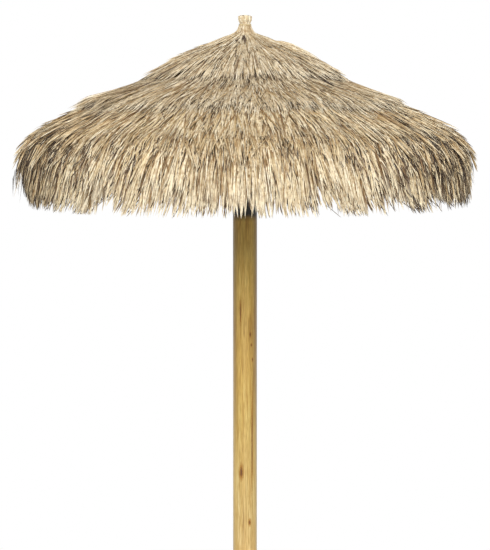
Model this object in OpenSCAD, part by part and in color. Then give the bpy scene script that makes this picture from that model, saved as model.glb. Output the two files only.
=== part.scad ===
// Thatched palapa umbrella: a round timber post, eight rafters and braces under
// four bent hoops, and four overlapping rows of reed thatch. Millimetres, +Z up,
// origin at the middle of the post's foot.

/* [Post] */
// Length of the whole post, foot to the top of its tenon
post_length = 2743; // [2500:1:3000]
// Diameter of the turned post
post_d = 114.3; // [105:0.1:125]
// Bevel round the edge of the foot
post_bevel = 6; // [3:1:10]
// Diameter of the tenon that the hub sits on
tenon_d = 70; // [60:1:76]

/* [Hub] */
// Distance across the hub's flats
hub_flats = 190; // [180:1:210]
// Height of the hub
hub_h = 100; // [94:1:115]
// Diameter of the bolt that pins the hub to the tenon
hub_bolt_d = 10; // [8:1:12]
// Height of that bolt above the hub's underside
hub_bolt_up = 16; // [15:1:18]

/* [Rafters] */
// Slope of the roof below the horizontal, in degrees
pitch = 24; // [21:0.5:26]
// Diameter of a rafter
rafter_d = 45; // [40:1:48]
// Diameter of the tenon that plugs into the hub
rafter_tenon_d = 28; // [22:1:30]
// Length of that tenon
rafter_tenon_l = 45; // [38:1:48]
// How far a rafter runs out past the middle of the eave hoop
rafter_tail = 16; // [10:1:24]

/* [Hoops] */
// Diameter of the bent cane of every hoop
hoop_d = 25; // [20:1:28]
// Radius at which the eave hoop crosses the rafters
eave_hoop_at = 925; // [905:1:931]
// Radius at which the lower hoop crosses the rafters
lower_hoop_at = 740; // [710:1:770]
// Radius at which the upper hoop crosses the rafters
upper_hoop_at = 480; // [460:1:500]
// Radius at which the crown hoop crosses the rafters
crown_hoop_at = 230; // [220:1:245]

/* [Braces] */
// Diameter of a brace
brace_d = 34; // [28:1:36]
// Radius at which a brace meets its rafter
brace_head_at = 610; // [570:1:650]
// Height of a brace's foot below the hub
brace_drop = 530; // [460:10:560]

/* [Fasteners] */
// Diameter of the lag screws in the hub and braces
lag_d = 6; // [5:0.5:7]
// Length of a hub screw under its head
hub_screw_l = 70; // [62:1:76]
// Radius of the ring of hub screws
hub_screw_at = 74; // [70:1:78]
// Depth that a brace's foot screw bites into the post
foot_screw_bite = 38; // [30:1:40]
// Depth that a brace's head screw bites into the rafter
head_screw_bite = 32; // [26:1:34]
// Diameter of the screws that hold the hoops
hoop_screw_d = 4; // [3.5:0.5:5]
// Depth that a hoop screw bites into the rafter
hoop_screw_bite = 30; // [24:1:34]

/* [Thatch] */
// Thickness of one layer of thatch
layer_t = 27; // [22:1:30]
// Thickness of a layer just above its reed tips
hem_t = 12; // [9:1:15]
// How far a row starts above the hoop that it is tied to
header_l = 25; // [20:1:35]
// Inner radius of the bend over the eave
eave_bend = 160; // [137:1:172]
// Radius at which the eave row leaves the slope and bends down
bend_at = 930; // [925:1:950]
// Length of the fringe below the bend, to the mean tip
fringe_l = 190; // [162:1:222]
// Mean length of the fringe's free reed tips
fringe_tip_l = 105; // [80:1:130]
// How far the fringe flares out below the bend
fringe_flare = 8; // [0:1:16]
// Turn of the lower row over the eave before its tips, in degrees
lower_turn = 50; // [42:1:60]
// Radius along the slope of the upper row's mean tips
upper_reach = 783; // [760:1:800]
// Radius along the slope of the crown row's mean tips
crown_reach = 452; // [440:1:470]
// Mean length of the free tips of the rows above the fringe
row_tip_l = 46; // [35:1:60]
// Depth of the furrows between bundles
furrow = 8; // [4:1:9]
// Rise of the crown row's lifted lap, where its last bundle rides on its first
crown_lap = 34; // [20:1:40]

/* [Crown] */
// Height of the thatch's cut top above the hub
crown_rise = 188; // [175:1:205]
// Radius of the topknot's flared top
knot_r = 34; // [31:0.5:38]
// Radius of the bound waist of the topknot
waist_r = 26.5; // [25:0.5:29]
// Height of the topknot, from the waist to its cut top
knot_h = 48; // [40:1:56]
// Radius at which the neck's flare runs out into the slope
neck_flare_r = 92; // [80:1:105]
// Diameter of the peg inside the topknot
peg_d = 30; // [24:1:32]
// Depth of the peg's socket in the post
peg_socket = 60; // [45:1:70]
// Diameter of the twine round the waist
twine_d = 3; // [2.5:0.1:4]
// Turns of that twine
twine_turns = 3; // [2:1:5]

/* [Fits] */
// Gap between parts that rest on each other
seat_gap = 0.3; // [0.2:0.05:0.5]
// Gap round a tenon, peg or screw in its hole
hole_gap = 0.15; // [0.1:0.05:0.3]
// Gap between neighbouring thatch panels
panel_gap = 1; // [0.6:0.1:2]

/* [Hidden] */
$fn = 64;

// The roof repeats eight times, and the hub is an octagon whose flats face the rafters.
sides = 8;
step = 360 / sides;
post_r = post_d / 2;
rafter_r = rafter_d / 2;
hoop_r = hoop_d / 2;
brace_r = brace_d / 2;
peg_r = peg_d / 2;
twine_r = twine_d / 2;

// Heights of the post's shoulder and of the hub on it
hub_z = post_length - hub_h;
hub_mid_z = hub_z + hub_h / 2;
hub_r = hub_flats / 2;

// A rafter's centre line at radius s, and a point at height n over the rafters' upper side there
function rafter_z(s) = hub_mid_z + (hub_r - s) * tan(pitch);
function over(s, n) = [s + (rafter_r + n) * sin(pitch), rafter_z(s) + (rafter_r + n) * cos(pitch)];

// Hoops lie on the rafters, innermost last
hoop_over = seat_gap + hoop_r;
hoops_at = [eave_hoop_at, lower_hoop_at, upper_hoop_at, crown_hoop_at];
rafter_end = eave_hoop_at + hoop_over * sin(pitch) + rafter_tail;

// The flats for the braces' feet are just deep enough to meet at their corners
flat_spare = 0.4;
seat_r = post_r * cos(step / 2) - flat_spare;
brace_foot = [seat_r + seat_gap, hub_z - brace_drop];
brace_head = [brace_head_at, rafter_z(brace_head_at)];
brace_run = brace_head - brace_foot;
brace_slope = atan2(brace_run[1], brace_run[0]);
foot_half = brace_r / cos(brace_slope);
flat_margin = 8;

// Lag screws: hexagon heads sunk in pockets in the braces, and seated on the hub
lag_r = lag_d / 2;
lag_head_r = 1.1 * lag_d;
lag_head_h = 0.7 * lag_d;
lag_flange_r = 1.15 * lag_head_r;
pocket_r = lag_flange_r + 1;
pocket_l = 60;
foot_cover = 20;
head_cover = 22;
head_screw_back = 22;
head_screw_at = brace_head_at - head_screw_back * cos(pitch);
hoop_screw_head_r = 1.1 * hoop_screw_d;
hoop_screw_head_h = 0.6 * hoop_screw_d;
hoop_screw_top = rafter_r + seat_gap + hoop_d - 0.5;

// The peg's top lies this far below the cut reeds
peg_below = 8;
peg_bevel = 4;

// Hub bolt, sunk in a pocket at each end
bolt_r = hub_bolt_d / 2;
bolt_head_r = 0.85 * hub_bolt_d;
bolt_head_h = 0.65 * hub_bolt_d;
bolt_washer_r = 1.05 * hub_bolt_d;
bolt_washer_h = 2;
bolt_tail = 3;
bolt_pocket_r = bolt_washer_r + 1.5;
bolt_seat = hub_r - bolt_washer_h - bolt_head_h - bolt_tail - 1;
bolt_reach = bolt_seat + bolt_washer_h;

// Heights over the rafters of the underside of a row on its hoop, on one row and on two
layer_gap = seat_gap + 0.2;
base_n = 2 * hoop_r + seat_gap + layer_gap;
lift = layer_t + layer_gap;
second_n = base_n + lift;
third_n = base_n + 2 * lift;

// A row starts a little above its own hoop, and clears the next header down over the ease
eave_top = lower_hoop_at - header_l;
lower_top = upper_hoop_at - header_l;
upper_top = crown_hoop_at - header_l;
ease = 20;
half_hem = (layer_t + hem_t) / 2;

// The bend over the eave turns about this centre, from the slope to straight down
bend_centre = over(bend_at, base_n) - eave_bend * [sin(pitch), cos(pitch)];
full_turn = 90 - pitch;
function on_bend(turn, n) = bend_centre + (eave_bend + n - base_n) * [sin(pitch + turn), cos(pitch + turn)];

// Underside of a row that climbs onto the row below between two places on the slope
function climb(s, n, from, to) = over(s, n + lift * (s - from) / (to - from));

// Bundles of reeds at the hem of each panel, and how many of them share one facet higher up
eave_bundles = 40;
lower_bundles = 24;
upper_bundles = 20;
crown_bundles = 16;
bundles_a_facet = 4;

thatch_colour = [0.80, 0.70, 0.52];
old_thatch_colour = [0.70, 0.61, 0.47];
knot_colour = [0.90, 0.82, 0.64];
pine_colour = [0.80, 0.64, 0.38];
cane_colour = [0.66, 0.50, 0.31];
zinc_colour = [0.72, 0.73, 0.74];

// Puts children at each rafter's bearing, or at one of them
module round_the_post() {
    for (i = [0 : sides - 1]) rotate([0, 0, step * (i + 0.5)]) children();
}

module at_side(i) {
    rotate([0, 0, step * (i - 0.5)]) children();
}

// Puts children on the rafter's centre line at radius s, with +Z out along it and -X up, square to it
module on_rafter(s) {
    translate([s, 0, rafter_z(s)]) rotate([0, 90 + pitch, 0]) children();
}

// The same, with +Z up, square to the rafter
module up_from_rafter(s) {
    on_rafter(s) rotate([0, -90, 0]) children();
}

module along_brace() {
    translate([brace_foot[0], 0, brace_foot[1]]) rotate([0, 90 - brace_slope, 0]) children();
}

// Everything on one side of a vertical plane at radius x, eight pole widths deep
waste = 8 * rafter_d;
module inside_of(x) {
    translate([x - waste, -waste / 2, 0]) cube([waste, waste, post_length + waste]);
}

module outside_of(x) {
    translate([x, -waste / 2, 0]) cube([waste, waste, post_length + waste]);
}

module post() {
    color(pine_colour)
    difference() {
        union() {
            cylinder(r1 = post_r - post_bevel, r2 = post_r, h = post_bevel);
            translate([0, 0, post_bevel]) cylinder(r = post_r, h = hub_z - post_bevel);
            cylinder(r = tenon_d / 2, h = post_length);
        }
        brace_flats();
        translate([0, 0, post_length - peg_socket]) cylinder(r = peg_r + hole_gap, h = peg_socket + 1);
        hub_bolt_hole();
        round_the_post() foot_screw_hole();
    }
}

// The waste that leaves eight flats on the post for the braces' feet
module brace_flats() {
    low = brace_foot[1] - foot_half - flat_margin;
    high = brace_foot[1] + foot_half + flat_margin;
    translate([0, 0, low]) difference() {
        cylinder(r = post_r + 10, h = high - low);
        translate([0, 0, -1]) cylinder(r = seat_r / cos(step / 2), h = high - low + 2, $fn = sides);
    }
}

module hub() {
    color(pine_colour)
    difference() {
        translate([0, 0, hub_z]) cylinder(r = hub_r / cos(step / 2), h = hub_h, $fn = sides);
        translate([0, 0, hub_z - 1]) cylinder(r = tenon_d / 2 + hole_gap, h = hub_h + 2);
        round_the_post() on_rafter(hub_r) translate([0, 0, -rafter_tenon_l - 1])
            cylinder(r = rafter_tenon_d / 2 + hole_gap, h = rafter_tenon_l + 30);
        hub_bolt_hole();
        along_hub_bolt() for (side = [0, 180]) rotate([0, side, 0])
            translate([0, 0, bolt_seat]) cylinder(r = bolt_pocket_r, h = hub_r);
        round_the_post() hub_screw_hole();
    }
}

module along_hub_bolt() {
    at_side(1) translate([0, 0, hub_z + hub_bolt_up]) rotate([0, 90, 0]) children();
}

module hub_bolt_hole() {
    along_hub_bolt() cylinder(r = bolt_r + hole_gap, h = 2 * hub_r, center = true);
}

// A hexagon bolt right through hub and tenon
module hub_bolt() {
    color(zinc_colour) along_hub_bolt() {
        translate([0, 0, -bolt_reach]) cylinder(r = bolt_r, h = 2 * bolt_reach + bolt_head_h + bolt_tail);
        translate([0, 0, -bolt_reach - bolt_head_h]) cylinder(r = bolt_head_r, h = bolt_head_h, $fn = 6);
    }
}

module hub_nut() {
    color(zinc_colour) along_hub_bolt() translate([0, 0, bolt_reach]) difference() {
        cylinder(r = bolt_head_r, h = bolt_head_h, $fn = 6);
        translate([0, 0, -1]) cylinder(r = bolt_r + hole_gap, h = bolt_head_h + 2);
    }
}

module hub_washers() {
    color(zinc_colour) along_hub_bolt() for (end = [-bolt_reach, bolt_seat]) translate([0, 0, end]) difference() {
        cylinder(r = bolt_washer_r, h = bolt_washer_h);
        translate([0, 0, -1]) cylinder(r = bolt_r + hole_gap, h = bolt_washer_h + 2);
    }
}

// A hexagon lag screw along +Z, with the underside of its head at z = 0
module lag_screw(length) {
    point_l = 1.5 * lag_r;
    flange_h = 1;
    translate([0, 0, length - point_l]) cylinder(r1 = lag_r, r2 = lag_r / 4, h = point_l);
    cylinder(r = lag_r, h = length - point_l);
    translate([0, 0, -flange_h]) cylinder(r = lag_flange_r, h = flange_h);
    translate([0, 0, -lag_head_h]) cylinder(r = lag_head_r, h = lag_head_h, $fn = 6);
}

module hub_screw_hole() {
    translate([hub_screw_at, 0, post_length - hub_screw_l - 1])
        cylinder(r = lag_r + hole_gap, h = hub_screw_l + 2);
}

module hub_screws() {
    color(zinc_colour)
    round_the_post() translate([hub_screw_at, 0, post_length]) rotate([180, 0, 0]) lag_screw(hub_screw_l);
}

// The peg stands in the post's top and stiffens the topknot, ending below its cut reeds
module crown_peg() {
    bottom = post_length - peg_socket;
    top = post_length + crown_rise - peg_below;
    color(pine_colour) {
        translate([0, 0, bottom]) cylinder(r = peg_r, h = top - bottom - peg_bevel);
        translate([0, 0, top - peg_bevel]) cylinder(r1 = peg_r, r2 = peg_r - peg_bevel, h = peg_bevel);
    }
}

module rafter() {
    color(pine_colour)
    difference() {
        union() {
            difference() {
                on_rafter(hub_r) translate([0, 0, -rafter_r])
                    cylinder(r = rafter_r, h = (rafter_end - hub_r) / cos(pitch) + 2 * rafter_r);
                inside_of(hub_r);
                outside_of(rafter_end);
            }
            on_rafter(hub_r) translate([0, 0, -rafter_tenon_l])
                cylinder(r = rafter_tenon_d / 2, h = rafter_tenon_l + rafter_r);
        }
        hub_screw_hole();
        for (at = hoops_at) hoop_screw_hole(at);
        head_screw_hole();
    }
}

// A countersunk screw's form from its point to its head, or its hole when given a gap and an open mouth
module countersunk(gap, under, mouth) {
    shank = hoop_screw_d / 2 + gap;
    head = hoop_screw_head_r + gap;
    rotate_extrude() polygon([
        [0, rafter_r - hoop_screw_bite - under], [shank, rafter_r - hoop_screw_bite - under],
        [shank, hoop_screw_top - hoop_screw_head_h], [head, hoop_screw_top],
        [head, hoop_screw_top + mouth], [0, hoop_screw_top + mouth]
    ]);
}

module hoop_screw_hole(at) {
    up_from_rafter(at) countersunk(hole_gap, 1, hoop_r);
}

module head_screw_hole() {
    up_from_rafter(head_screw_at) translate([0, 0, -rafter_r - 40])
        cylinder(r = lag_r + hole_gap, h = 40 + head_screw_bite + 1);
}

module foot_screw_hole() {
    translate([brace_foot[0] - foot_screw_bite - 1, 0, brace_foot[1]]) rotate([0, 90, 0])
        cylinder(r = lag_r + hole_gap, h = foot_screw_bite + foot_cover + 10);
}

// A brace stands on its flat on the post and is coped to the underside of its rafter
module brace() {
    color(pine_colour)
    difference() {
        along_brace() translate([0, 0, -2 * brace_r]) cylinder(r = brace_r, h = norm(brace_run) + 2 * brace_r);
        inside_of(brace_foot[0]);
        on_rafter(hub_r) cylinder(r = rafter_r + seat_gap, h = (rafter_end - hub_r) / cos(pitch));
        foot_screw_hole();
        head_screw_hole();
        translate([brace_foot[0] + foot_cover, 0, brace_foot[1]]) rotate([0, 90, 0])
            cylinder(r = pocket_r, h = pocket_l);
        up_from_rafter(head_screw_at) rotate([180, 0, 0]) translate([0, 0, rafter_r + head_cover])
            cylinder(r = pocket_r, h = pocket_l);
    }
}

module brace_foot_screws() {
    color(zinc_colour)
    round_the_post() translate([brace_foot[0] + foot_cover, 0, brace_foot[1]]) rotate([0, -90, 0])
        lag_screw(foot_screw_bite + foot_cover);
}

module brace_head_screws() {
    color(zinc_colour)
    round_the_post() up_from_rafter(head_screw_at) translate([0, 0, -rafter_r - head_cover])
        lag_screw(head_screw_bite + head_cover);
}

// A ring of bent cane on the rafters, drilled and countersunk for its screws. The seam of its
// round section is turned to the side, away from them.
module hoop(at) {
    middle = over(at, hoop_over);
    seam_turn = 70;
    color(cane_colour)
    difference() {
        translate([0, 0, middle[1]]) rotate_extrude()
            translate([middle[0], 0]) rotate(seam_turn) circle(r = hoop_r);
        round_the_post() hoop_screw_hole(at);
    }
}

module hoop_screws() {
    color(zinc_colour)
    for (at = hoops_at) round_the_post() up_from_rafter(at) countersunk(0, 0, 0.3);
}

// A repeatable irregular number from 0 to 1 for the bundle j
function irregular(j, seed) = let (x = sin(j * 127.1 + seed * 311.7) * 43758.5) x - floor(x);

function unit(v) = v / norm(v);

// One panel of thatch in the sector i: a curved mat of reeds between an outer and an inner
// profile of [radius, height], from the header down to the hem. From the station fine on,
// furrows part the bundles, and below the hem each bundle ends in a tapered tip. Just above
// that station the panel's first edge rises by lap, where it rides on the panel before it.
module thatch_panel(i, outer, inner, bundles, tip_l, fine, seed, uneven = 0.9, lap = 0) {
    end = len(outer) - 1;
    coarse = bundles / bundles_a_facet;
    function count(k) = k < fine ? coarse : bundles;
    function before(k) = min(k, fine) * (coarse + 1) + max(0, k - fine) * (bundles + 1);
    sheet = before(end + 1);
    function o(k, j) = before(k) + j;
    function v(k, j) = sheet + before(k) + j;
    function t(j) = 2 * sheet + j;

    // Bearing of a share of the panel's width, kept clear of the next panels at any radius
    function bearing(r, share) = let (edge = asin(panel_gap / 2 / r)) step * i + edge + (step - 2 * edge) * share;
    function spot(p, share) = let (a = bearing(p[0], share)) [p[0] * cos(a), p[0] * sin(a), p[1]];
    function inside_edge(j, n) = j > 0 && j < n;
    function wander(k, j) = k >= fine && inside_edge(j, bundles) ? 0.5 * (irregular(j, seed + i) - 0.5) : 0;
    function sunk(k, j) = k >= fine && inside_edge(j, bundles) ? furrow * (0.1 + 0.9 * irregular(j, seed + i + 40)) : 0;
    function risen(k, j) = k == fine - 1 ? lap * pow(1 - j / count(k), 2) : 0;

    fall = unit(unit(outer[end] - outer[end - 1]) + unit(inner[end] - inner[end - 1]));
    out = [-fall[1], fall[0]];
    outside = [for (k = [0 : end]) for (j = [0 : count(k)])
        spot(outer[k] + out * (risen(k, j) - sunk(k, j)), (j + wander(k, j)) / count(k))];
    // Chords of the inner side stay outside the true circle, clear of what lies below
    within = [for (k = [0 : end]) for (j = [0 : count(k)])
        spot([inner[k][0] / cos(step / count(k) / 2), inner[k][1]], j / count(k))];
    tips = [for (j = [0 : bundles - 1]) let (
            reach = tip_l * (1 + uneven * (irregular(j, seed + i + 80) - 0.5)),
            lean = 0.5 * (irregular(j, seed + i + 120) - 0.5))
        spot((outer[end] + inner[end]) / 2 + fall * reach, (j + 0.5 + lean) / bundles)];

    faces = [
        for (k = [0 : end - 1]) for (j = [0 : count(k) - 1])
            let (g = count(k + 1) / count(k), f = j * g, h = floor(g / 2)) each [
                [o(k, j), o(k, j + 1), o(k + 1, f + h + g % 2)],
                [v(k, j), v(k + 1, f + h + g % 2), v(k, j + 1)],
                for (m = [0 : h + g % 2 - 1]) each [
                    [o(k, j), o(k + 1, f + m + 1), o(k + 1, f + m)],
                    [v(k, j), v(k + 1, f + m), v(k + 1, f + m + 1)]
                ],
                for (m = [h + g % 2 : 1 : g - 1]) each [
                    [o(k, j + 1), o(k + 1, f + m + 1), o(k + 1, f + m)],
                    [v(k, j + 1), v(k + 1, f + m), v(k + 1, f + m + 1)]
                ]
            ],
        for (j = [0 : coarse - 1]) each [[o(0, j), v(0, j + 1), o(0, j + 1)], [o(0, j), v(0, j), v(0, j + 1)]],
        for (j = [0 : bundles - 1]) each [
            [o(end, j), o(end, j + 1), t(j)], [o(end, j + 1), v(end, j + 1), t(j)],
            [v(end, j + 1), v(end, j), t(j)], [v(end, j), o(end, j), t(j)]
        ],
        for (k = [0 : end - 1]) each [
            [o(k, 0), o(k + 1, 0), v(k + 1, 0)], [o(k, 0), v(k + 1, 0), v(k, 0)],
            [o(k, count(k)), v(k + 1, count(k + 1)), o(k + 1, count(k + 1))],
            [o(k, count(k)), v(k, count(k)), v(k + 1, count(k + 1))]
        ]
    ];
    polyhedron(points = concat(outside, within, tips), faces = faces, convexity = 8);
}

// The eave row is tied to the lower hoop, bends over the eave hoop and hangs as a fringe
eave_hem_z = bend_centre[1] - fringe_l + fringe_tip_l;
eave_hem_r = on_bend(full_turn, base_n)[0] + fringe_flare;
eave_inner = [
    over(eave_top, base_n), over(bend_at, base_n),
    on_bend(full_turn / 2, base_n), on_bend(full_turn, base_n), [eave_hem_r, eave_hem_z]
];
eave_outer = [
    over(eave_top, base_n + layer_t), over(bend_at, base_n + layer_t),
    on_bend(full_turn / 2, base_n + layer_t), on_bend(full_turn, base_n + layer_t),
    [eave_hem_r + hem_t, eave_hem_z]
];

module eave_thatch(i) {
    color(thatch_colour)
    thatch_panel(i - 1, eave_outer, eave_inner, eave_bundles, fringe_tip_l, fine = 3, seed = 1, uneven = 0.55);
}

// The lower row is tied to the upper hoop, climbs onto the eave row and turns down with it
lower_inner = [
    over(lower_top, base_n), over(upper_hoop_at + ease, base_n), over(eave_top - ease, second_n),
    over(bend_at, second_n), on_bend(lower_turn / 2, second_n), on_bend(lower_turn, second_n)
];
lower_outer = [
    over(lower_top, base_n + layer_t), over(upper_hoop_at + ease, base_n + layer_t),
    over(eave_top - ease, second_n + layer_t), over(bend_at, second_n + layer_t),
    on_bend(lower_turn / 2, second_n + half_hem), on_bend(lower_turn, second_n + hem_t)
];

module lower_thatch() {
    color(thatch_colour) for (i = [0 : sides - 1])
        thatch_panel(i, lower_outer, lower_inner, lower_bundles, row_tip_l, fine = 3, seed = 201);
}

// The upper row is tied to the crown hoop and ends part way down the lower row
upper_hem = upper_reach - row_tip_l * cos(pitch);
upper_inner = [
    over(upper_top, base_n), over(crown_hoop_at + ease, base_n), over(lower_top - ease, second_n),
    over(upper_hoop_at + ease, second_n), over(eave_top - ease, third_n), over(upper_hem, third_n)
];
upper_outer = [
    over(upper_top, base_n + layer_t), over(crown_hoop_at + ease, base_n + layer_t),
    over(lower_top - ease, second_n + layer_t), over(upper_hoop_at + ease, second_n + layer_t),
    over(eave_top - ease, third_n + half_hem), over(upper_hem, third_n + hem_t)
];

module upper_thatch() {
    color(old_thatch_colour) for (i = [0 : sides - 1])
        thatch_panel(i, upper_outer, upper_inner, upper_bundles, row_tip_l, fine = 3, seed = 401);
}

// The crown row is bound round the peg, and its cut ends flare above the twine as the topknot
crown_z = post_length + crown_rise;
waist_z = crown_z - knot_h;
throat_r = peg_r + seat_gap;
twine_pitch = twine_d + 0.8;
band_half = twine_pitch * (twine_turns + 1) / 2;
crown_n = third_n + layer_t;
crown_hem = crown_reach - row_tip_l * cos(pitch);
crown_shoulder = crown_hoop_at + ease;
neck_flare = [neck_flare_r, over(neck_flare_r - (rafter_r + crown_n) * sin(pitch), crown_n)[1]];
neck_mid = [(waist_r + neck_flare_r) / 2, neck_flare[1] + 0.27 * (waist_z - band_half - neck_flare[1])];
neck_inside = [throat_r + hem_t, neck_mid[1] - layer_t / 2];
crown_inner = [
    [throat_r, crown_z], [throat_r, waist_z + band_half], [throat_r, waist_z - band_half],
    neck_inside, [neck_flare_r - ease, neck_flare[1] - layer_t], over(upper_top - ease, second_n),
    over(crown_shoulder, second_n), climb(crown_hem, second_n, crown_shoulder, lower_top - ease)
];
crown_outer = [
    [knot_r, crown_z], [waist_r, waist_z + band_half], [waist_r, waist_z - band_half],
    neck_mid, neck_flare, over(upper_top - ease, crown_n),
    over(crown_shoulder + 2 * ease, crown_n), over(crown_hem, third_n + hem_t)
];

module crown_thatch() {
    color(old_thatch_colour) for (i = [0 : sides - 1])
        thatch_panel(i, crown_outer, crown_inner, crown_bundles, row_tip_l, fine = 6, seed = 601,
            lap = i == 0 ? crown_lap : 0);
}

// Twine wound down the waist in one unbroken run, its two ends straight
twine_ring = 24;
twine_steps = twine_turns * twine_ring;
twine_path_r = waist_r + twine_r + seat_gap;
function twine_at(k) = let (a = 360 * k / twine_ring)
    [twine_path_r * cos(a), twine_path_r * sin(a), waist_z + twine_pitch * (twine_turns / 2 - k / twine_ring)];
twine_turned = [for (k = [0 : twine_steps]) twine_at(k)];
twine_path = concat(
    [twine_turned[0] - twine_d * unit(twine_turned[1] - twine_turned[0])],
    twine_turned,
    [twine_turned[twine_steps] + twine_d * unit(twine_turned[twine_steps] - twine_turned[twine_steps - 1])]);

// A round tube with flat ends along a list of points
module tube(path, r, ring = 6) {
    last = len(path) - 1;
    function run(k) = unit(path[min(k + 1, last)] - path[max(k - 1, 0)]);
    function side(k) = unit(cross(run(k), [0, 0, 1]));
    points = [for (k = [0 : last]) let (s = side(k), w = cross(s, run(k)))
        for (j = [0 : ring - 1]) path[k] + r * (cos(360 * j / ring) * s + sin(360 * j / ring) * w)];
    faces = concat(
        [[for (j = [0 : ring - 1]) j]],
        [for (k = [0 : last - 1]) for (j = [0 : ring - 1]) let (m = (j + 1) % ring) each [
            [k * ring + j, (k + 1) * ring + m, k * ring + m],
            [k * ring + j, (k + 1) * ring + j, (k + 1) * ring + m]]],
        [[for (j = [ring - 1 : -1 : 0]) last * ring + j]]);
    polyhedron(points = points, faces = faces, convexity = 10);
}

module neck_twine() {
    color(knot_colour) tube(twine_path, twine_r);
}

// Least gap between neighbouring turns of the twine
twine_gap = min([for (k = [0 : twine_steps - twine_ring / 2]) for (m = [k + twine_ring / 2 : twine_steps])
    norm(twine_turned[k] - twine_turned[m])]) - twine_d;
echo(twine_least_gap = twine_gap);

post();
hub();
hub_bolt();
hub_nut();
hub_washers();
hub_screws();
crown_peg();
for (i = [1 : sides]) {
    at_side(i) rafter();
    at_side(i) brace();
    eave_thatch(i);
}
brace_foot_screws();
brace_head_screws();
hoop(eave_hoop_at);  // eave_hoop
hoop(lower_hoop_at);  // lower_hoop
hoop(upper_hoop_at);  // upper_hoop
hoop(crown_hoop_at);  // crown_hoop
hoop_screws();
lower_thatch();
upper_thatch();
crown_thatch();
neck_twine();
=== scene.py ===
import math

import bpy
import numpy as np
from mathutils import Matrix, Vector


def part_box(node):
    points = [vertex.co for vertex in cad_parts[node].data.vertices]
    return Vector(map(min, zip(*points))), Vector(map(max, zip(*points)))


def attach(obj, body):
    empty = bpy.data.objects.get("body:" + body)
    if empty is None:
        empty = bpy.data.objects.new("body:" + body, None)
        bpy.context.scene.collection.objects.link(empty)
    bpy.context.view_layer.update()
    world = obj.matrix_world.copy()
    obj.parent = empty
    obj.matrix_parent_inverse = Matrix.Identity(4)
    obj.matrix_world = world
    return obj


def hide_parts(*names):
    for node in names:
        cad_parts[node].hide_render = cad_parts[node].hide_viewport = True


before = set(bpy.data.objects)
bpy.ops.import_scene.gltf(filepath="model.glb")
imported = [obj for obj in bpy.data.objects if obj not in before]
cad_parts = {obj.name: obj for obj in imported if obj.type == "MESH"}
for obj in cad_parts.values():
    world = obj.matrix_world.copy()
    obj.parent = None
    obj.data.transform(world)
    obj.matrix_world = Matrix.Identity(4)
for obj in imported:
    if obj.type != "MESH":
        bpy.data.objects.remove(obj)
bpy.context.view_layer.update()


# The post is a pine pole turned round to 4 1/2 inches and oiled. Its foot has a small bevel and its
# head a tenon for the hub, and eight flats under the roof take the feet of the braces.

def linear(code):
    """A colour written as sRGB hex, in the linear values that a shader takes."""
    parts = [int(code[i:i + 2], 16) / 255 for i in (0, 2, 4)]
    return [p / 12.92 if p <= 0.04045 else ((p + 0.055) / 1.055) ** 2.4 for p in parts] + [1]


def add(tree, kind, inputs=None, ramp=None, **settings):
    """A node with its settings. An input is set to a value, or linked to a socket or a node's result."""
    node = tree.nodes.new("ShaderNode" + kind)
    for name, value in settings.items():
        setattr(node, name, value)
    for name, value in (inputs or {}).items():
        if isinstance(value, bpy.types.Node):
            value = next(socket for socket in value.outputs if socket.enabled)
        if isinstance(value, bpy.types.NodeSocket):
            tree.links.new(value, node.inputs[name])
        else:
            node.inputs[name].default_value = value
    for k, (place, code) in enumerate(ramp or []):
        stops = node.color_ramp.elements
        stop = stops[k] if k < 2 else stops.new(place)
        stop.position = place
        stop.color = linear(code)
    return node


def bare_material(name):
    """A material, its tree to be filled, and where on its object a point is."""
    material = bpy.data.materials.new(name)
    material.use_nodes = True
    tree = material.node_tree
    tree.nodes.clear()
    return material, tree, add(tree, "TexCoord").outputs["Object"]


def cover(node, material):
    """Gives a CAD node its finish through its own slots."""
    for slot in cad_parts[node].material_slots:
        slot.material = material


# A colour is laid over another, or stains it as oil stains wood.
OVER = {"data_type": "RGBA"}
STAIN = {"data_type": "RGBA", "blend_type": "MULTIPLY"}

# Pine under oil: golden, with brown and olive streaks down the grain. The lathe cuts through the
# growth rings, so they show as long uneven stripes. The lines between them are drawn 2 mm wide,
# coarser than real ones, so that they show.
RING_WIDTH = 0.007
HAIRLINE = RING_WIDTH / 3.2
STREAK_WIDTH = 0.03846
KNOT_FRAY = 0.006667
# Between these heights the post's colour changes, partly as painted light against the roof's shade.
FOOT_TINT_HEIGHT, HEAD_TINT_HEIGHT = 0.35, 1.75
# The head is painted black above this height, as the shade under the roof, fading in over this edge.
HEAD_SHADE_LINE = 1.984
HEAD_SHADE_EDGE = 0.032
# Knots, a long drying crack and small marks: across, up, half width, half height, and the turn in
# degrees that brings each to its side of the post.
POST_KNOTS = [
    (-0.0186, 0.763, 0.0075, 0.026, 0),
    (0.024, 0.520, 0.005, 0.012, 0),
    (0.010, 1.31, 0.006, 0.014, 118),
    (-0.015, 0.93, 0.008, 0.020, 205),
    (0.006, 1.66, 0.005, 0.011, 262),
    (0.002, 0.34, 0.006, 0.015, 155),
    (0.042, 0.900, 0.0030, 0.170, 0),
    (-0.023, 1.530, 0.0030, 0.045, 0),
    (0.028, 1.420, 0.0030, 0.008, 0),
    (0.036, 1.370, 0.0030, 0.006, 0),
    (0.046, 1.300, 0.0030, 0.007, 0),
]


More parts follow.
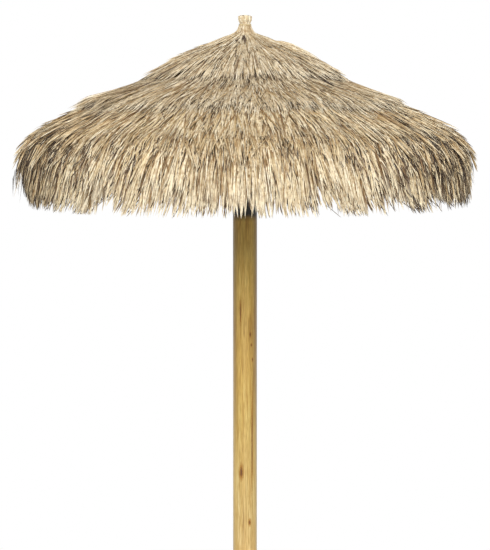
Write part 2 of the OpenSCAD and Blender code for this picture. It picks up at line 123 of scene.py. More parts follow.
def turned_pine(radius):
    """Oiled pine off the lathe: golden, streaked, knotted, and painted black at the head as shade."""
    material, tree, place = bare_material("turned_pine")
    parts = add(tree, "SeparateXYZ", {"Vector": place})
    long_way = add(tree, "VectorMath", {0: place, 1: (1, 1, 0.045)}, operation="MULTIPLY")
    broad = add(tree, "TexNoise", {"Vector": long_way, "Scale": 1 / STREAK_WIDTH, "Detail": 3})
    rings = add(tree, "TexNoise", {"Vector": long_way, "Scale": 1 / RING_WIDTH, "Detail": 5,
                                   "Roughness": 0.62, "Distortion": 0.7})
    hairs = add(tree, "TexNoise", {"Vector": long_way, "Scale": 1 / HAIRLINE, "Detail": 3})
    wood = add(tree, "ValToRGB", {"Fac": rings}, ramp=[
        (0.30, "c8a46a"), (0.42, "e2c285"), (0.52, "f3d79e"), (0.66, "fde9bb"), (0.80, "fff4d2")])
    streaks = add(tree, "ValToRGB", {"Fac": broad}, ramp=[
        (0.34, "ab8c48"), (0.45, "ead49c"), (0.58, "fff9e2"), (0.68, "e6c884"), (0.80, "b09252")])
    lines = add(tree, "ValToRGB", {"Fac": hairs}, ramp=[(0.36, "c9b48c"), (0.56, "ffffff")])
    # Up the post the colour turns from a cool grey at the foot to yellower and paler at the head: partly
    # the wood's own colour, and partly painted light that lifts the shade the roof casts on the head.
    height = add(tree, "MapRange", {"Value": parts.outputs["Z"], "From Min": FOOT_TINT_HEIGHT,
                                    "From Max": HEAD_TINT_HEIGHT})
    tint_and_lift = add(tree, "ValToRGB", {"Fac": height}, ramp=[
        (0.0, "f0f1f0"), (0.17, "eef1ea"), (0.49, "e4e2bf"), (0.79, "e0d7a8"), (1.0, "fffac0")])
    for strength, stain in ((0.62, streaks), (0.55, lines), (1.0, tint_and_lift)):
        wood = add(tree, "Mix", {"Factor": strength, 6: wood, 7: stain}, **STAIN)
    frayed = add(tree, "TexNoise", {"Vector": place, "Scale": 1 / KNOT_FRAY, "Detail": 2})
    for across, up, half_width, half_height, turn in POST_KNOTS:
        bearing = math.atan2(across, radius) + math.radians(turn - 90)
        middle = (radius * math.cos(bearing), radius * math.sin(bearing), up)
        away = add(tree, "VectorMath", {0: place, 1: middle}, operation="SUBTRACT")
        away = add(tree, "VectorMath", {0: away, 1: (1 / half_width, 1 / half_width, 1 / half_height)},
                   operation="MULTIPLY")
        reach = add(tree, "VectorMath", {0: away}, operation="LENGTH")
        reach = add(tree, "Math", {0: reach, 1: frayed}, operation="ADD")
        reach = add(tree, "Math", {0: reach, 1: 3.2}, operation="DIVIDE")
        mark = add(tree, "ValToRGB", {"Fac": reach}, ramp=[
            (0.22, "7c4526"), (0.36, "96683a"), (0.47, "cda85e"), (0.80, "ffffff")])
        wood = add(tree, "Mix", {"Factor": 0.9, 6: wood, 7: mark}, **STAIN)
    # The two sides along X are painted paler and yellower low down, as a painted highlight where light
    # wraps round the post, and browner up under the roof, as painted shade.
    across = add(tree, "Math", {0: parts.outputs["X"]}, operation="ABSOLUTE")
    rim_light_and_shade = add(tree, "MapRange", {"Value": across, "From Min": 0.6 * radius, "From Max": radius,
                                   "To Max": 0.52})
    side = add(tree, "ValToRGB", {"Fac": height}, ramp=[(0.25, "ffda7e"), (0.8, "7d5c36")])
    wood = add(tree, "Mix", {"Factor": rim_light_and_shade, 6: wood, 7: side}, **OVER)
    # The head above the level of the fringe is painted black, as the shade under the roof. Its lower
    # edge wavers with the grain.
    grain_wavered_height = add(tree, "Math", {0: hairs, 1: 0.05, 2: parts.outputs["Z"]}, operation="MULTIPLY_ADD")
    painted_head_shade = add(tree, "MapRange", {"Value": grain_wavered_height, "From Min": HEAD_SHADE_LINE, "From Max": HEAD_SHADE_LINE + HEAD_SHADE_EDGE})
    wood = add(tree, "Mix", {"Factor": painted_head_shade, 6: wood, 7: linear("120b05")}, **OVER)
    relief = add(tree, "Bump", {"Height": rings, "Strength": 0.25, "Distance": 0.0008})
    shade = add(tree, "BsdfPrincipled", {
        "Base Color": wood, "Normal": relief, "Roughness": 0.48, "IOR": 1.5, "Sheen Weight": 0.45,
        "Sheen Roughness": 0.4, "Coat Weight": 0.12, "Coat Roughness": 0.3})
    add(tree, "OutputMaterial", {"Surface": shade})
    return material


post_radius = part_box("post")[1][0]
cover("post", turned_pine(post_radius))


# The hub is a block of the same pine sawn to eight sides, slid over the post's tenon and bolted
# through. The peg on top of it is a turned stub, and the crown reeds are bound round it.

def sawn_pine():
    """Dry sawn pine: paler than the oiled post, with a rough grain that follows the saw."""
    material, tree, place = bare_material("sawn_pine")
    along = add(tree, "VectorMath", {0: place, 1: (1, 1, 0.08)}, operation="MULTIPLY")
    grain = add(tree, "TexNoise", {"Vector": along, "Scale": 1 / RING_WIDTH, "Detail": 6, "Distortion": 0.4})
    colour = add(tree, "ValToRGB", {"Fac": grain}, ramp=[
        (0.30, "a07a48"), (0.50, "cda66c"), (0.72, "e2c693")])
    relief = add(tree, "Bump", {"Height": grain, "Strength": 0.4, "Distance": 0.001})
    shade = add(tree, "BsdfPrincipled", {
        "Base Color": colour, "Normal": relief, "Roughness": 0.72, "IOR": 1.5})
    add(tree, "OutputMaterial", {"Surface": shade})
    return material


sawn = sawn_pine()
cover("hub", sawn)
cover("crown_peg", sawn)


# Eight rafters and eight braces are thin pine poles with the bark peeled off. Each rafter is
# tenoned into the hub, and each brace is screwed to the post and to its rafter.

POLE_GRAIN = 0.005263
BARK_STRIP = 0.01923


def peeled_pole(name, bearing, slope):
    """A peeled pole: tan, with darker strips where the inner bark stayed on, and grain down the pole."""
    material, tree, place = bare_material(name)
    turned = add(tree, "Mapping", {"Vector": place, "Rotation": (0, 0, -bearing)}, vector_type="POINT")
    laid = add(tree, "Mapping", {"Vector": turned, "Rotation": (0, -slope, 0)}, vector_type="POINT")
    along = add(tree, "VectorMath", {0: laid, 1: (0.05, 1, 1)}, operation="MULTIPLY")
    grain = add(tree, "TexNoise", {"Vector": along, "Scale": 1 / POLE_GRAIN, "Detail": 5, "Distortion": 0.5})
    bark = add(tree, "TexNoise", {"Vector": along, "Scale": 1 / BARK_STRIP, "Detail": 4})
    wood = add(tree, "ValToRGB", {"Fac": grain}, ramp=[
        (0.32, "94704a"), (0.52, "c49d6b"), (0.74, "dcbd8c")])
    strips = add(tree, "ValToRGB", {"Fac": bark}, ramp=[(0.36, "8c6544"), (0.47, "ffffff")])
    colour = add(tree, "Mix", {"Factor": 0.8, 6: wood, 7: strips}, **STAIN)
    relief = add(tree, "Bump", {"Height": grain, "Strength": 0.5, "Distance": 0.001})
    shade = add(tree, "BsdfPrincipled", {
        "Base Color": colour, "Normal": relief, "Roughness": 0.68, "IOR": 1.5})
    add(tree, "OutputMaterial", {"Surface": shade})
    return material


SIDES = 8
side_turn = math.tau / SIDES


def hoop_centre(node):
    """The radius and height of a hoop's centre line, and the radius of its cane."""
    low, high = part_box(node)
    cane = (high[2] - low[2]) / 2
    return np.array([high[0] - cane, (low[2] + high[2]) / 2]), cane


eave_hoop, cane_radius = hoop_centre("eave_hoop")
lower_hoop = hoop_centre("lower_hoop")[0]
upper_hoop = hoop_centre("upper_hoop")[0]
crown_hoop = hoop_centre("crown_hoop")[0]
pitch = math.atan2(crown_hoop[1] - eave_hoop[1], eave_hoop[0] - crown_hoop[0])
brace_reach = np.subtract(*reversed(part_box("brace_1")))
brace_slope = -math.atan2(brace_reach[2], math.hypot(brace_reach[0], brace_reach[1]))

for i in range(SIDES):
    bearing = side_turn * (i + 0.5)
    cover(f"rafter_{i + 1}", peeled_pole(f"peeled_rafter_{i + 1}", bearing, pitch))
    cover(f"brace_{i + 1}", peeled_pole(f"peeled_brace_{i + 1}", bearing, brace_slope))


# Four hoops of cane as thick as a thumb are steamed round, scarfed shut and screwed down onto
# every rafter. The rows of thatch are tied to them.

CANE_JOINTS = 15
MOTTLE_SIZE = 0.02632


def bent_cane():
    """Raw cane: brown and a little glossy, with a pale ring and a dark line at each joint, and mottled."""
    material, tree, place = bare_material("bent_cane")
    parts = add(tree, "SeparateXYZ", {"Vector": place})
    turn = add(tree, "Math", {0: parts.outputs["Y"], 1: parts.outputs["X"]}, operation="ARCTAN2")
    ring = add(tree, "Math", {0: turn, 1: CANE_JOINTS / math.tau}, operation="MULTIPLY")
    ring = add(tree, "Math", {0: ring, 1: 0.5}, operation="PINGPONG")
    joint = add(tree, "ValToRGB", {"Fac": ring}, ramp=[
        (0.0, "6f5030"), (0.008, "d9bd8a"), (0.02, "b58c58"), (0.5, "a87f4c")])
    mottle = add(tree, "TexNoise", {"Vector": place, "Scale": 1 / MOTTLE_SIZE, "Detail": 5})
    patch = add(tree, "ValToRGB", {"Fac": mottle}, ramp=[(0.35, "a98a66"), (0.6, "ffffff")])
    colour = add(tree, "Mix", {"Factor": 0.8, 6: joint, 7: patch}, **STAIN)
    relief = add(tree, "Bump", {"Height": mottle, "Strength": 0.2, "Distance": 0.001})
    shade = add(tree, "BsdfPrincipled", {
        "Base Color": colour, "Normal": relief, "Roughness": 0.42, "IOR": 1.5})
    add(tree, "OutputMaterial", {"Surface": shade})
    return material


cane = bent_cane()
for hoop in ("eave_hoop", "lower_hoop", "upper_hoop", "crown_hoop"):
    cover(hoop, cane)


# Bolt, nut, washers and screws are steel, zinc plated against the weather. The bolt holds the hub
# to the post, and lag screws hold the rafters' tenons and the braces.

CLOUD_SIZE = 0.00625


def zinc_plate():
    """Bright zinc plate gone dull outdoors: grey metal with cloudy lighter and darker patches."""
    material, tree, place = bare_material("zinc_plate")
    cloud = add(tree, "TexNoise", {"Vector": place, "Scale": 1 / CLOUD_SIZE, "Detail": 4})
    colour = add(tree, "ValToRGB", {"Fac": cloud}, ramp=[
        (0.32, "8e9192"), (0.55, "b7babb"), (0.75, "cfd2d1")])
    dull = add(tree, "MapRange", {"Value": cloud, "To Min": 0.52, "To Max": 0.3})
    shade = add(tree, "BsdfPrincipled", {"Base Color": colour, "Metallic": 1, "Roughness": dull})
    add(tree, "OutputMaterial", {"Surface": shade})
    return material


zinc = zinc_plate()
for part in ("hub_bolt", "hub_nut", "hub_washers", "hub_screws", "hoop_screws",
             "brace_foot_screws", "brace_head_screws"):
    cover(part, zinc)


# The eave row is eight panels of reed, each a mat stitched along its top edge and tied to the lower
# hoop. The reeds bend over the eave hoop and hang as a fringe with ragged, split tips.

LAYER = 0.0275
ROW_TOP_BACK = 0.025
EASE = 0.020
OVER_HOOPS = 0.013
BEND_RADIUS = 0.160


def slope(radius, layers, dip=0.0):
    """A point of the roof's slope: a radius on the hoops' centre line, and so many layers over the hoops."""
    over = OVER_HOOPS + layers * LAYER - dip
    return np.array([radius + over * math.sin(pitch),
                     eave_hoop[1] + (eave_hoop[0] - radius) * math.tan(pitch) + over * math.cos(pitch)])


bend_start = eave_hoop[0] + 0.005
bend_centre = slope(bend_start, 0) - BEND_RADIUS * np.array([math.sin(pitch), math.cos(pitch)])


def round_bend(degrees, layers):
    """A point on the bend over the eave hoop, that many degrees past the slope."""
    turn = pitch + math.radians(degrees)
    return bend_centre + (BEND_RADIUS + layers * LAYER) * np.array([math.sin(turn), math.cos(turn)])


def row_line(points, spacing=0.006):
    """Close, even stations along the outer side of a row: distance, radius, height, outward way."""
    points = np.array(points)
    reach = np.concatenate([[0], np.cumsum(np.linalg.norm(np.diff(points, axis=0), axis=1))])
    at = np.arange(0, reach[-1], spacing)
    r, z = np.interp(at, reach, points[:, 0]), np.interp(at, reach, points[:, 1])
    smooth = np.ones(9) / 9
    dr = np.convolve(np.pad(np.gradient(r, at), 4, mode="edge"), smooth, "valid")
    dz = np.convolve(np.pad(np.gradient(z, at), 4, mode="edge"), smooth, "valid")
    size = np.hypot(dr, dz)
    return np.array([at, r, z, -dz / size, dr / size])


def on_line(line, at, over, bearing):
    """Points at distances along a row, at heights over its outer side and at bearings round the post."""
    past = at - np.clip(at, line[0, 0], line[0, -1])
    out, up = np.interp(at, line[0], line[3]), np.interp(at, line[0], line[4])
    r = np.interp(at, line[0], line[1]) + over * out + past * up
    z = np.interp(at, line[0], line[2]) + over * up - past * out
    r = np.maximum(r, 0.004)
    return np.stack([r * np.cos(bearing), r * np.sin(bearing), z], axis=-1)


def draws(rng, count):
    """Two ways to draw a number for each of so many reeds: evenly between limits, or about a middle."""
    def even(low, high):
        return rng.uniform(low, high, count)

    def about(middle, spread):
        return rng.normal(middle, spread, count)

    return even, about


def part_way(value, low, high):
    """How far a value has come from low to high, from 0 to 1."""
    return np.clip((value - low) / (high - low), 0, 1)


def eased(part):
    """A value from 0 to 1 that starts and stops gently."""
    return part * part * (3 - 2 * part)


def unit(v):
    """Vectors made one long."""
    return v / np.maximum(np.linalg.norm(v, axis=-1, keepdims=True), 1e-9)


THICKNESS = 0.34


def blades(middle, up, tilt, wide):
    """Closed three-sided blades along paths, each running out to its last point, as faces by number."""
    count, rings = wide.shape
    run = unit(np.gradient(middle, axis=1))
    side = unit(np.cross(run, up))
    up = np.cross(side, run)
    side, up = side * np.cos(tilt) + up * np.sin(tilt), up * np.cos(tilt) - side * np.sin(tilt)
    foot, wide = middle[:, :rings], wide[..., None]
    half, high = side[:, :rings] * wide / 2, up[:, :rings] * wide * THICKNESS
    corners = np.stack([foot - half, foot + half, foot + high], axis=2)
    points = np.concatenate([corners.reshape(count, rings * 3, 3), middle[:, rings:]], axis=1)
    first = np.arange(count)[:, None, None] * (3 * rings + 1)
    quads = np.array([(3 * k + j, 3 * k + 3 + j, 3 * k + 3 + (j + 1) % 3, 3 * k + (j + 1) % 3)
                      for k in range(rings - 1) for j in range(3)])
    last = 3 * (rings - 1)
    triangles = np.array([(0, 1, 2)] + [(last + j, last + 3, last + (j + 1) % 3) for j in range(3)])
    return points.reshape(-1, 3), (first + quads).reshape(-1, 4), (first + triangles).reshape(-1, 3)


BOW = 0.005


def lay_reeds(line, rng, bearing, tip, length, width, root_over, tip_over, sway, tone, age,
              shares=(0, 0.45, 0.88), girth=(0.85, 1.0, 0.85), roll=0.5, pale_root=0.0,
              spring=0.0, taut=0.0, room=0.006, lean=0.0, hump=0.0):
    """Reeds that run down a row from a sunk root to a tapered tip, each bowed a little.

    Returns points, quads, triangles and the looks of every point."""
    count = len(bearing)
    share = np.array([*shares, 1.0])
    tip, length, root_over, tip_over, sway, lean, hump = (
        np.broadcast_to(value, count)[:, None]
        for value in (tip, length, root_over, tip_over, sway, lean, hump))
    at = tip - length + length * share
    over = root_over + (tip_over - root_over) * share ** 1.4 + hump * np.sin(math.pi * share ** 0.8)
    drift = length * share * np.tan(sway)
    drift = drift + BOW * length * rng.normal(0, 1, count)[:, None] * np.sin(math.pi * share)
    turned = bearing[:, None] + drift / np.maximum(np.interp(at, line[0], line[1]), 0.03) + lean * share
    middle = on_line(line, at, over, turned)
    up = unit(on_line(line, at, over + 0.01, turned) - middle)
    # Reeds are stiff: a taut one cuts across a bend as far as there is room under it, and a sprung
    # one stands off the bend.
    across = middle[:, :1] + (middle[:, -1:] - middle[:, :1]) * share[:, None]
    cut = np.linalg.norm(across - middle, axis=2).max(axis=1)
    taut = np.minimum(taut, room / np.maximum(cut, room))[:, None, None]
    middle = middle * (1 - taut) + across * taut
    spring = np.reshape(spring, (-1, 1, 1))
    heading = unit(middle[:, 1:2] - middle[:, :1])
    straight = middle[:, :1] + heading * (length * share)[..., None]
    middle = middle * (1 - spring) + straight * spring
    tilt = rng.normal(0, roll, count)[:, None, None]
    points, quads, triangles = blades(middle, up, tilt, width[:, None] * np.array(girth))
    each = 3 * len(girth) + 1
    along = np.concatenate([np.repeat(share[:-1], 3), [1.0]])
    looks = {"tone": np.repeat(tone, each), "age": np.repeat(age, each),
             "along": np.tile(pale_root + (1 - pale_root) * along, count)}
    return points, quads, triangles, looks


COURSES = 16
COURSE_HEIGHT = 0.085


def bundled(rng, bearing, at, around, pull):
    """Reeds are tied in handfuls.

    Returns how far each tip leans to its own handful, which that is, and how near its edge."""
    middles = rng.uniform(-0.25, 0.25, (around, COURSES))
    row = np.floor(at / COURSE_HEIGHT).astype(int) % COURSES
    turn = bearing / math.tau * around + row * 0.38
    handful = np.floor(turn).astype(int)
    middle = handful + 0.5 + middles[handful % around, row]
    edge = part_way(np.abs(middle - turn), 0.22, 0.62)
    return pull * (middle - turn) * math.tau / around, handful % around, edge


WEATHER_PATCH = 0.15
weather = np.random.default_rng(5).uniform(-1, 1, (2, 40, 16))


def patchy(layer, bearing, at):
    """Uneven weather over the roof: a smooth value from -1 to 1 in patches a hand and a half wide."""
    grid = weather[layer]
    turn, down = bearing / math.tau * grid.shape[0], at / WEATHER_PATCH
    i, j = np.floor(turn).astype(int), np.floor(down).astype(int)
    a, b = eased(turn - i), eased(down - j)
    near, far = (grid[(i + k) % grid.shape[0]] for k in (0, 1))
    rows, n = grid.shape[1], np.arange(len(bearing))
    one = near[n, j % rows] * (1 - a) + far[n, j % rows] * a
    two = near[n, (j + 1) % rows] * (1 - a) + far[n, (j + 1) % rows] * a
    return one * (1 - b) + two * b


# The flanks are painted darker, as the shade where the roof turns away from the lamps.
FLANK_AXIS = math.radians(-8)


def flank(bearing):
    """How far a bearing faces one of the two flanks, which turn away from the lamps, from 0 to 1."""
    return eased(part_way(np.abs(np.cos(bearing - FLANK_AXIS)), 0.5, 1))


PALE, TAN, BROWN, SHADOW_SLIT = range(4)


def face_reeds(line, rng, bearing, tip, length, width, sway, age, pale=0.22, dark=0.5, shadow_slits=0.09,
               parted=0.0, gloom=0.0, flank_shade=0.4, droop=0.0, loose=0.0, **shape):
    """The reeds of a row's face, in four kinds: straw-pale ones on top, then tan ones, brown ones
    below, and short narrow ones so dark that they look like slits, painted shade between the reeds.
    More of the dark ones, and duller tones, are painted as shade where two handfuls part and on the
    two flanks that turn away from the lamps."""
    even, about = draws(rng, len(bearing))
    draw, side = even(0, 1), flank(bearing)
    parted = parted * (0.5 + side)
    shadow_slits = shadow_slits * (1 + side) * (0.9 + 1.6 * parted)
    pale, dark = pale * (1.2 - 0.9 * parted), np.clip(dark * (0.9 + 0.8 * parted), 0, 0.7)
    kind = np.select([draw < shadow_slits, draw < shadow_slits + pale, draw < 1 - dark], [SHADOW_SLIT, PALE, TAN], BROWN)
    tone = np.choose(kind, [even(0.72, 1), even(0.34, 0.72), even(0.02, 0.36), even(0, 0.05)])
    sunk = np.choose(kind, [even(0, 0.35), even(0.15, 0.6), even(0.35, 1), even(0, 0.2)])
    # Duller tones and older colour on the flanks and where handfuls part are painted shade.
    duller = np.where(kind == PALE, 0.08 + 0.3 * gloom, 0.16 + gloom) * side + 0.15 * parted
    flank_shade_here = flank_shade * side * np.where(kind == PALE, 0.4, 1)
    return lay_reeds(
        line, rng, bearing, tip, length * np.choose(kind, [1, 1, 1, 0.4]),
        width * np.choose(kind, [1.1, 1, 1, 0.62]), root_over=-0.013 - 0.010 * sunk,
        tip_over=0.001 - 0.015 * sunk - droop, sway=about(0, sway),
        tone=np.clip(tone - duller + 0.12 * patchy(0, bearing, tip), 0, 1),
        age=np.clip(age + flank_shade_here + 0.32 * patchy(1, bearing, tip) + (kind == SHADOW_SLIT), 0, 1),
        spring=loose * even(0, 1) ** 3, **shape)


def inner_reeds(line, rng, bearing, tip, lengths, youngest, **shape):
    """The underside of a row: broad reeds that lie flat and close, and have stayed clean."""
    even, about = draws(rng, len(bearing))
    return lay_reeds(
        line, rng, bearing, tip, even(*lengths), even(0.008, 0.013), root_over=even(-0.0262, -0.0240),
        tip_over=even(-0.0262, -0.0235), sway=about(0, 0.04), tone=even(0.1, 0.9),
        age=even(youngest, youngest + 0.6), roll=0.15, **shape)


def mat_under(line, rng, start, end, first, last, age, top=0.0225, under=0.0262, ragged=0.02,
              column=0.012):
    """The dense mat under the loose reeds: a thin closed sheet, pleated, with a torn lower edge."""
    middle_radius = np.interp((first + last) / 2, line[0], line[1])
    columns = max(4, int((end - start) * middle_radius / column))
    rows = max(3, int((last - first) / 0.045))
    even, _ = draws(rng, columns + 1)
    bearing = np.linspace(start, end, columns + 1)
    hem = last + ragged * even(-1, 1)
    at = first + (hem - first) * np.linspace(0, 1, rows + 1)[:, None]
    pleat = 0.0025 * even(-1, 1)
    outer = on_line(line, at, -top + pleat, bearing)
    inner = on_line(line, at, -under + pleat * 0.4, bearing)
    size = at.size
    corner = np.arange(size).reshape(at.shape)
    a, b, c, d = (part.ravel() for part in (
        corner[:-1, :-1], corner[:-1, 1:], corner[1:, 1:], corner[1:, :-1]))
    quads = [np.stack([a, d, c, b], axis=1), np.stack([a, b, c, d], axis=1) + size]
    for one, other in ((corner[0, :-1], corner[0, 1:]), (corner[-1, 1:], corner[-1, :-1]),
                       (corner[1:, 0], corner[:-1, 0]), (corner[:-1, -1], corner[1:, -1])):
        quads.append(np.stack([one, other, other + size, one + size], axis=1))
    points = np.concatenate([outer.reshape(-1, 3), inner.reshape(-1, 3)])
    outside = np.arange(2 * size) < size
    # Its outer side is painted near-black, as the shade deep between the reeds; its underside keeps a paler
    # reed colour.
    looks = {"tone": np.where(outside, 0.1, 0.55), "age": np.full(2 * size, age),
             "along": np.where(outside, 0.1, 0.7)}
    return points, np.concatenate(quads), np.empty((0, 3), dtype=int), looks


def join(batches):
    """Several lots of points, quads, triangles and looks as one."""
    points, quads, triangles, looks = zip(*batches)
    first = np.cumsum([0] + [len(lot) for lot in points[:-1]])
    return (np.concatenate(points), np.concatenate([q + f for q, f in zip(quads, first)]),
            np.concatenate([t + f for t, f in zip(triangles, first)]),
            {name: np.concatenate([lot[name] for lot in looks]) for name in looks[0]})


def dress(name, data, material, nodes):
    """Puts a mesh or a curve in its finish, in place of its CAD nodes, and lets it ride with the frame."""
    data.materials.append(material)
    piece = bpy.data.objects.new(name, data)
    bpy.context.scene.collection.objects.link(piece)
    if nodes:
        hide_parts(*nodes)
    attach(piece, "root")


def thatch_piece(name, batches, material, nodes):
    """A mesh of reeds that stands for its CAD nodes."""
    points, quads, triangles, looks = join(batches)
    mesh = bpy.data.meshes.new(name)
    mesh.vertices.add(len(points))
    mesh.vertices.foreach_set("co", points.ravel())
    mesh.loops.add(quads.size + triangles.size)
    mesh.loops.foreach_set("vertex_index", np.concatenate([quads.ravel(), triangles.ravel()]))
    mesh.polygons.add(len(quads) + len(triangles))
    starts = np.concatenate([np.arange(len(quads)) * 4, quads.size + np.arange(len(triangles)) * 3])
    mesh.polygons.foreach_set("loop_start", starts)
    mesh.update(calc_edges=True)
    mesh.validate()
    mesh.shade_flat()
    for look, values in looks.items():
        mesh.attributes.new(look, "FLOAT", "POINT").data.foreach_set("value", values)
    dress(name, mesh, material, nodes)


STAIN_SIZE = 0.016667


def dried_reed(name, fresh, old):
    """Dried reed: straw and tan blades, no two the same, with painted shade at the root, bleached at the
    tip.
    """
    material, tree, place = bare_material(name)
    tone, age, along = (
        add(tree, "Attribute", attribute_name=look, attribute_type="GEOMETRY").outputs["Fac"]
        for look in ("tone", "age", "along"))
    young = add(tree, "ValToRGB", {"Fac": tone}, ramp=fresh)
    grey = add(tree, "ValToRGB", {"Fac": tone}, ramp=old)
    colour = add(tree, "Mix", {"Factor": age, 6: young, 7: grey}, **OVER)
    spots = add(tree, "TexNoise", {"Vector": place, "Scale": 1 / STAIN_SIZE, "Detail": 4})
    stain = add(tree, "ValToRGB", {"Fac": spots}, ramp=[(0.36, "c8b49a"), (0.56, "ffffff")])
    # Each reed is painted darker towards its root, as the shade deep among the other reeds.
    root = add(tree, "ValToRGB", {"Fac": along}, ramp=[
        (0.0, "75604a"), (0.33, "cfbea2"), (0.6, "ffffff")])
    for strength, darker in ((0.7, stain), (0.85, root)):
        colour = add(tree, "Mix", {"Factor": strength, 6: colour, 7: darker}, **STAIN)
    # The sun bleaches the tips of fresh reeds. Old ones have gone grey right through.
    bleach = add(tree, "MapRange", {"Value": along, "From Min": 0.8, "From Max": 1.0, "To Max": 0.55})
    spared = add(tree, "MapRange", {"Value": age, "From Max": 0.7, "To Min": 1, "To Max": 0})
    bleach = add(tree, "Math", {0: bleach, 1: spared}, operation="MULTIPLY")
    colour = add(tree, "Mix", {"Factor": bleach, 6: colour, 7: linear("f7edd6")}, **OVER)
    shade = add(tree, "BsdfPrincipled", {"Base Color": colour, "Roughness": 0.62, "IOR": 1.45})
    add(tree, "OutputMaterial", {"Surface": shade})
    return material


golden_reed = dried_reed(
    "golden_reed",
    fresh=[(0.0, "6b4f30"), (0.18, "a08258"), (0.42, "d3bb8d"), (0.7, "ecdab2"), (1.0, "faf0d6")],
    old=[(0.0, "3f3022"), (0.22, "7d6547"), (0.5, "b39a74"), (1.0, "d8c7a4")])
weathered_reed = dried_reed(
    "weathered_reed",
    fresh=[(0.0, "6a533c"), (0.18, "9f8665"), (0.42, "d0bb94"), (0.72, "e9dab9"), (1.0, "f8efd9")],
    old=[(0.0, "41342a"), (0.22, "77624b"), (0.5, "a8926f"), (1.0, "d0c0a0")])

FRINGE_LOW = 2.052
fringe_hem = bend_centre + np.array([BEND_RADIUS + 0.021, -0.085])
eave_line = row_line(
    [slope(lower_hoop[0] - ROW_TOP_BACK, 1)] + [round_bend(d, 1) for d in range(0, 67, 6)]
    + [fringe_hem, (fringe_hem[0] - 0.010, FRINGE_LOW)])
eave_end = eave_line[0, -1]
EAVE_REEDS = 1650
EAVE_INNER_REEDS = 190
EDGE_GAP = 0.009
# The fringe stands out in front and behind, tucks in away from the sun, and is combed aside.
FLARE = 0.035
TUCK = 0.028
COMB = 0.085
HANDFULS = 17
PARTINGS = 6
PARTING_WIDTH = 0.032
PARTING_HEIGHT = 0.125


def parted_tips(rng, partings, bearing, tip):
    """Tips, with those of the reeds that would hang across a parting cut short."""
    apart = np.abs(bearing[:, None] - partings).min(axis=1) * eave_hoop[0]
    highest = eave_end - PARTING_HEIGHT * (1 - 2 * apart / PARTING_WIDTH)
    highest = highest - rng.uniform(0, 0.02, len(tip))
    return np.where((apart < PARTING_WIDTH / 2) & (tip > highest), highest, tip)


for i in range(SIDES):
    rng = np.random.default_rng(10 + i)
    even, about = draws(rng, EAVE_REEDS)
    edge = EDGE_GAP / 2 / eave_hoop[0]
    start, end = side_turn * i + edge, side_turn * (i + 1) - edge
    # Here and there two handfuls part, and daylight shows between them.
    partings = side_turn * (i + rng.choice(np.arange(1, HANDFULS), PARTINGS, replace=False) / HANDFULS)
    bearing = even(start, end)
    sunward, side = np.cos(bearing), flank(bearing)
    lean, handful, edge_of = bundled(rng, bearing, np.zeros(EAVE_REEDS), SIDES * HANDFULS, 0.42)
    # At the two ends the fringe has worn shorter, most of all on the sunny one.
    worn = np.where(sunward > 0, 0.034, 0.018) * part_way(np.abs(sunward), 0.93, 1)
    ragged = rng.normal(0, 0.015, SIDES * HANDFULS)[handful] - worn
    low_tip = np.minimum(about(-0.013, 0.023) + ragged, 0.024)
    tip = eave_end + np.where(even(0, 1) < 0.5, low_tip, even(-0.38, -0.02))
    hem, hanging = tip > eave_end - 0.06, tip > eave_end - 0.19
    short = even(0, 1) < 0.3
    length = np.where(short, even(0.13, 0.22), even(0.23, 0.42))
    # On the flanks, most of all on the hanging fringe, and where handfuls part, the reeds are painted
    # darker, as shade.
    outer = face_reeds(
        eave_line, rng, bearing, parted_tips(rng, partings, bearing, tip), length,
        even(0.0045, 0.0085), 0.09,
        age=about(0.32, 0.14) + 0.35 * (even(0, 1) < 0.08) - 0.18 * hem,
        pale=np.where(hem, 0.42 - 0.22 * side,
                      np.where(tip > eave_end - 0.17, 0.16, 0.10 + 0.10 * side)),
        dark=0.52 - 0.08 * side, shadow_slits=0.12 - 0.025 * side, parted=edge_of,
        gloom=np.where(hanging, 0.28, 0.10), flank_shade=np.where(hanging, 0.32, 0.12),
        lean=lean - COMB * np.sin(2 * bearing), shares=(0, 0.35, 0.65, 0.9),
        girth=(0.8, 1.0, 1.0, 0.8), loose=0.15, taut=even(0.3, 1),
        droop=(0.012 - (FLARE + 0.012) * (1 - np.abs(sunward) ** 3)
               - np.where(short, 0.030 * even(0, 1) ** 1.5, 0) * side)
        * part_way(tip, eave_end - 0.25, eave_end) + TUCK * part_way(-sunward, 0.9, 0.98))
    even, _ = draws(rng, EAVE_INNER_REEDS)
    bearing = even(start, end)
    inner = inner_reeds(
        eave_line, rng, bearing, parted_tips(rng, partings, bearing, even(0.25, eave_end - 0.03)),
        (0.24, 0.36), 0.2, shares=(0, 0.25, 0.5, 0.75), girth=(0.9, 1.0, 1.0, 0.8))
    mat = mat_under(eave_line, rng, start, end, 0.004, eave_end - 0.125, 0.9, top=0.0215, ragged=0.03)
    thatch_piece(f"eave_reeds_{i + 1}", [outer, inner, mat], golden_reed,
                 [f"eave_thatch_{i + 1}"])


# The lower row is tied to the upper hoop. It climbs over the heads of the eave row and turns down
# with it, and its tips end half way round the bend.

lower_line = row_line(
    [slope(upper_hoop[0] - ROW_TOP_BACK, 1), slope(upper_hoop[0] + EASE, 1),
     slope(lower_hoop[0] - ROW_TOP_BACK - EASE, 2), slope(lower_hoop[0] + 2 * EASE, 1.95),
     slope(bend_start, 1.45)]
    + [round_bend(d, 1.4) for d in range(5, 51, 5)])
lower_end = lower_line[0, -1]
LOWER_REEDS = 13500
LOWER_INNER_REEDS = 700
LOWER_WORN = 0.08

rng = np.random.default_rng(31)
even, about = draws(rng, LOWER_REEDS)
bearing = even(0, math.tau)
sunward, side = np.cos(bearing), flank(bearing)
hem = even(0, 1) < 0.22
tip = np.where(hem, lower_end + about(0.060, 0.065), lower_end - 0.40 + 0.46 * even(0, 1) ** 0.9)
